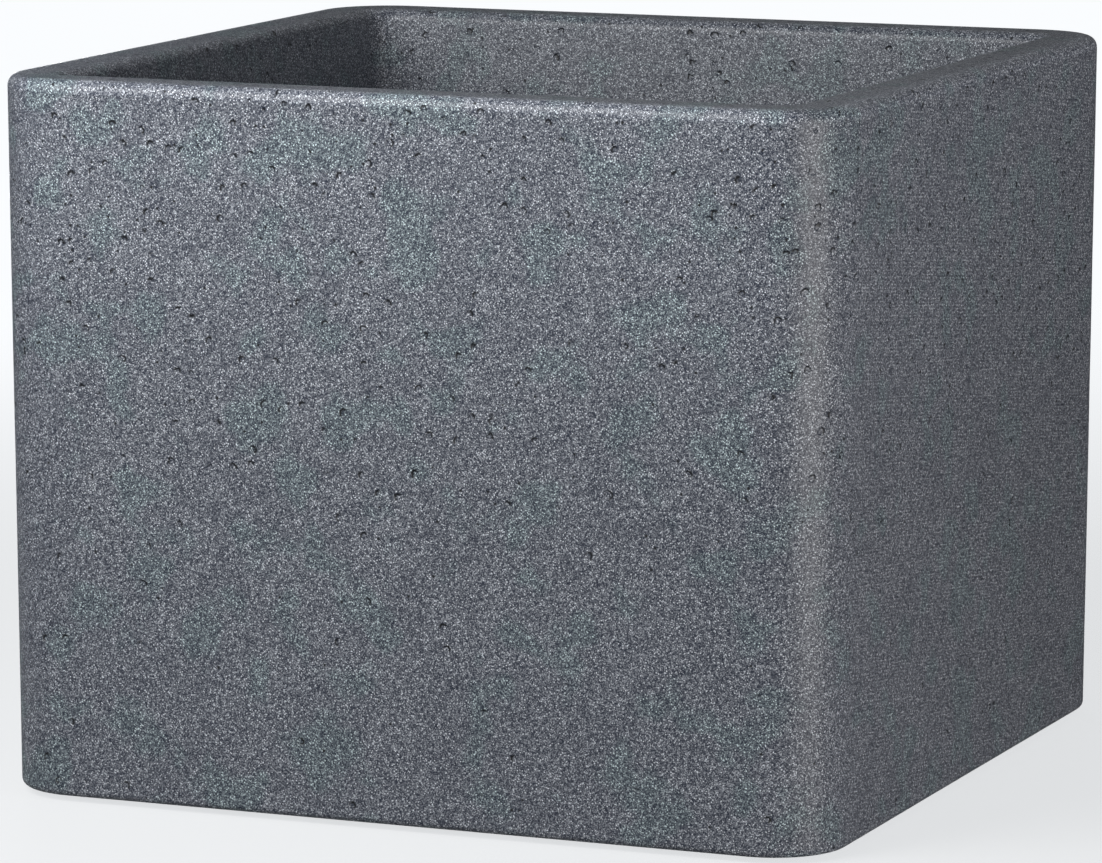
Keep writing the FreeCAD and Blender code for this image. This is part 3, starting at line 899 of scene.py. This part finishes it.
    def build(self) -> bpy.types.Object:
        """Build and dress the moulding.

        Returns:
            The planter's shell, riding on the planter body.
        """
        weaver = MeshWeaver()
        band_outer, floor_edge = weaver.sweep([self.points(ring) for ring in self.body_rings()])
        band_inner, roof_edge = weaver.sweep([self.points(ring) for ring in self.recess_rings()])
        floor_loops, roof_loops, band_loops = [floor_edge], [roof_edge], [band_outer, band_inner]
        base = self.outer(self.base_level)
        for side_x, side_y in CORNERS.values():
            centre = (side_x * self.drain_half, side_y * self.drain_half)
            top, bottom = self.turned(weaver, centre, self.drain_stations())
            floor_loops.append(top)
            roof_loops.append(bottom)
            centre = (
                side_x * (base.half_x - self.foot_inset),
                side_y * (base.half_y - self.foot_inset),
            )
            mouth, end = self.turned(weaver, centre, self.foot_stations())
            band_loops.append(mouth)
            weaver.cap(end)
        vent_top = self.roof_level + self.skin
        vent_stations = [(self.vent_radius, self.roof_level), (self.vent_radius, vent_top)]
        mouth, end = self.turned(weaver, (0.0, 0.0), vent_stations)
        roof_loops.append(mouth)
        weaver.cap(end)
        for loops in (floor_loops, roof_loops, band_loops):
            weaver.patch(loops)
        piece = weaver.finish("planter_moulding", self.finish.material(self.rim_level, self.half_x))
        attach(piece, "planter")
        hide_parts("planter_shell")
        return piece


# ---------------------------------------------------------------- small pieces


@dataclass
class SmallPieces:
    """The plugs, seals, vent plug and feet, which keep their frame shapes."""

    plug: MouldedFinish
    seal: MouldedFinish
    vent: MouldedFinish
    foot: MouldedFinish

    def dress(self) -> list[str]:
        """Give each small piece its finish.

        Returns:
            The names of the nodes dressed.
        """
        finishes = {
            "drain_plug": self.plug.material(),
            "drain_seal": self.seal.material(),
            "vent_plug": self.vent.material(),
            "rubber_foot": self.foot.material(),
        }
        dressed = []
        for name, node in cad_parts.items():
            for start, material in finishes.items():
                if name.startswith(start):
                    node.data.materials.clear()
                    node.data.materials.append(material)
                    dressed.append(name)
        return dressed


# ---------------------------------------------------------------- studio


@dataclass(frozen=True)
class SoftBox:
    """One soft rectangular lamp aimed at the planter."""

    name: str
    azimuth: float
    elevation: float
    distance: float
    size: float
    power: float
    tone: tuple[float, float, float] = (1.0, 1.0, 1.0)

    def build(self, aim: Vector) -> bpy.types.Object:
        """Hang the lamp.

        Args:
            aim: the point it is turned to.

        Returns:
            The lamp.
        """
        turn, lift = math.radians(self.azimuth), math.radians(self.elevation)
        back = Vector(
            (math.sin(turn) * math.cos(lift), -math.cos(turn) * math.cos(lift), math.sin(lift))
        )
        data = bpy.data.lights.new(self.name, "AREA")
        data.shape = "SQUARE"
        data.size = self.size
        data.energy = self.power
        data.color = self.tone
        lamp = bpy.data.objects.new(self.name, data)
        bpy.context.scene.collection.objects.link(lamp)
        lamp.location = aim + back * self.distance
        lamp.rotation_mode = "QUATERNION"
        lamp.rotation_quaternion = (-back).to_track_quat("-Z", "Y")
        lamp.visible_camera = False
        return lamp


@dataclass
class Studio:
    """The floor, the lamps, the sky and the camera."""

    lamps: tuple[SoftBox, ...]
    floor_tone: tuple[float, float, float] = (0.8, 0.8, 0.8)
    floor_reach: float = 2.0
    floor_body: float = 0.28
    floor_fade: tuple[float, float] = (0.45, 1.7)
    floor_under: tuple[float, float] = (0.16, 0.19)
    sky: float = 0.06
    backdrop: float = 1.0
    yaw: float = math.radians(22.5)
    pitch: float = math.radians(8.91)
    lens: float = 210.0
    sensor: float = 36.0
    distance: float = 7.436
    aim_rise: float = 0.4
    shift_right: float = 0.0199
    shift_up: float = 0.0325

    def build_camera(self) -> bpy.types.Object:
        """Set up the camera, whose distances are shares of the planter's width.

        Returns:
            The camera.
        """
        low, high = (Vector(corner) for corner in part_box("planter_shell"))
        width = high.x - low.x
        forward = Vector(
            (
                -math.sin(self.yaw) * math.cos(self.pitch),
                math.cos(self.yaw) * math.cos(self.pitch),
                -math.sin(self.pitch),
            )
        )
        right = Vector((math.cos(self.yaw), math.sin(self.yaw), 0.0))
        upward = right.cross(forward)
        aim = Vector(((low.x + high.x) / 2, (low.y + high.y) / 2, low.z + self.aim_rise * width))
        place = aim - width * (
            self.shift_right * right + self.shift_up * upward + self.distance * forward
        )
        data = bpy.data.cameras.new("camera")
        data.sensor_width = self.sensor
        data.lens = self.lens
        data.clip_end = 100.0
        camera = bpy.data.objects.new("camera", data)
        bpy.context.scene.collection.objects.link(camera)
        turn = Matrix((right, upward, -forward)).transposed()
        camera.matrix_world = Matrix.Translation(place) @ turn.to_4x4()
        bpy.context.scene.camera = camera
        return camera

    def build_floor(self) -> bpy.types.Object:
        """Lay the plain pale floor, which thins out into the backdrop away from the planter.

        Returns:
            The floor.
        """
        level = CAD_BOX[0][2]
        graph = ShaderGraph("studio_floor")
        grain = graph.noise(0.004, 2.0).outputs["Fac"]
        dark = tuple(0.985 * part for part in self.floor_tone)
        tone = graph.ramp(grain, [(0.3, dark), (0.7, self.floor_tone)], "LINEAR")
        graph.feed(graph.shader.inputs["Base Color"], tone)
        graph.shader.inputs["Roughness"].default_value = 0.9
        graph.shader.inputs["Specular IOR Level"].default_value = 0.1
        spread = graph.add("ShaderNodeVectorMath", {0: graph.place}, operation="LENGTH")
        near, far = self.floor_fade
        thin = graph.remap(spread.outputs["Value"], near, far, self.floor_body, 0.0)
        near, far = self.floor_under
        under = graph.remap(spread.outputs["Value"], near, far, 1.0, 0.0)
        alpha = graph.maths("MAXIMUM", thin, under)
        graph.feed(graph.shader.inputs["Alpha"], alpha)
        weaver = MeshWeaver()
        weaver.cap(weaver.loop(circle((0.0, 0.0), self.floor_reach, level, 96)))
        floor = weaver.finish("studio_floor", graph.material)
        return floor

    def build_sky(self) -> None:
        """Set the soft light all round, and the pale backdrop that the camera sees."""
        world = bpy.data.worlds.new("studio")
        bpy.context.scene.world = world
        world.use_nodes = True
        tree = world.node_tree
        tree.nodes.clear()
        output = tree.nodes.new("ShaderNodeOutputWorld")
        mix = tree.nodes.new("ShaderNodeMixShader")
        path = tree.nodes.new("ShaderNodeLightPath")
        shades = []
        for strength in (self.sky, self.backdrop):
            shade = tree.nodes.new("ShaderNodeBackground")
            shade.inputs["Color"].default_value = (0.96, 0.98, 1.0, 1.0)
            shade.inputs["Strength"].default_value = strength
            shades.append(shade)
        tree.links.new(path.outputs["Is Camera Ray"], mix.inputs[0])
        tree.links.new(shades[0].outputs[0], mix.inputs[1])
        tree.links.new(shades[1].outputs[0], mix.inputs[2])
        tree.links.new(mix.outputs[0], output.inputs["Surface"])

    def build(self) -> None:
        """Build the whole studio."""
        bpy.context.scene.view_settings.view_transform = "Standard"
        self.build_camera()
        self.build_floor()
        self.build_sky()
        low, high = (Vector(corner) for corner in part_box("planter_shell"))
        for lamp in self.lamps:
            lamp.build((low + high) / 2)


def main() -> None:
    """Build the planter, then the studio round it."""
    logging.basicConfig(level=logging.INFO, format="%(message)s")
    shell = PlanterShell(GraniteFinish()).build()
    LOG.info("%s: %d faces", shell.name, len(shell.data.polygons))
    small = SmallPieces(
        plug=MouldedFinish("plug_plastic", (0.030, 0.032, 0.036), Coat.SATIN),
        seal=MouldedFinish("seal_rubber", (0.014, 0.014, 0.015), Coat.DRY),
        vent=MouldedFinish("vent_plastic", (0.040, 0.042, 0.046), Coat.MATT),
        foot=MouldedFinish("foot_rubber", (0.018, 0.018, 0.019), Coat.DRY),
    )
    for name in small.dress():
        LOG.info("%s: dressed", name)
    Studio(
        lamps=(
            SoftBox("key", -35.0, 30.0, 1.5, 1.0, 9.0),
            SoftBox("near_key", -18.0, 38.0, 0.9, 0.5, 3.0),
            SoftBox("fill", 67.0, 1.0, 1.4, 0.8, 8.4, (1.03, 1.0, 0.985)),
            SoftBox("back", 180.0, 50.0, 1.5, 1.4, 1.5),
            SoftBox("rear", 215.0, 0.0, 2.1, 0.3, 13.0),
        )
    ).build()


if __name__ == "__main__":
    main()
